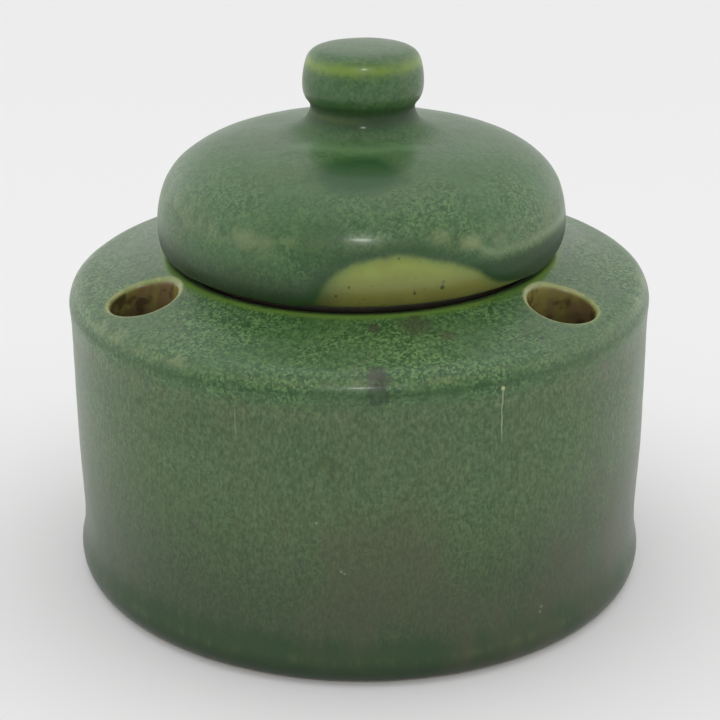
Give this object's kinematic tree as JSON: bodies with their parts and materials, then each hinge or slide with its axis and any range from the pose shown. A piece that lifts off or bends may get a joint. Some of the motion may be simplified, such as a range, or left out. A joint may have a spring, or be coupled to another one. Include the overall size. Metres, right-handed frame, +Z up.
{
  "type": "pottery inkwell",
  "caption": "Round glazed pottery inkwell with a sloping shoulder pierced by upright pen holes, a lift-out ink liner and a domed lid with a turned knob.",
  "frame": {"origin": "centre of the foot ring's resting plane, on the axis of the vessel", "axes": "+Z up along the axis; -Y is the front, midway between the two front pen holes; +X to the right"},
  "size_m": [0.102, 0.102, 0.0926],
  "materials": {
    "glaze_vessel": "satin mottled green glaze",
    "liner_clay": "clear-glazed buff clay",
    "glaze_lid": "satin mottled green glaze"
  },
  "bodies": {
    "vessel": {"vessel": "glaze_vessel"},
    "liner": {"liner": "liner_clay"},
    "lid": {"lid": "glaze_lid"}
  },
  "joints": [
    {"name": "liner_lift", "type": "slide", "parent": "vessel", "child": "liner", "axis": [0, 0, 1], "range_m": [0, 0.07]},
    {"name": "lid_lift", "type": "slide", "parent": "liner", "child": "lid", "axis": [0, 0, 1], "range_m": [0, 0.06]}
  ]
}
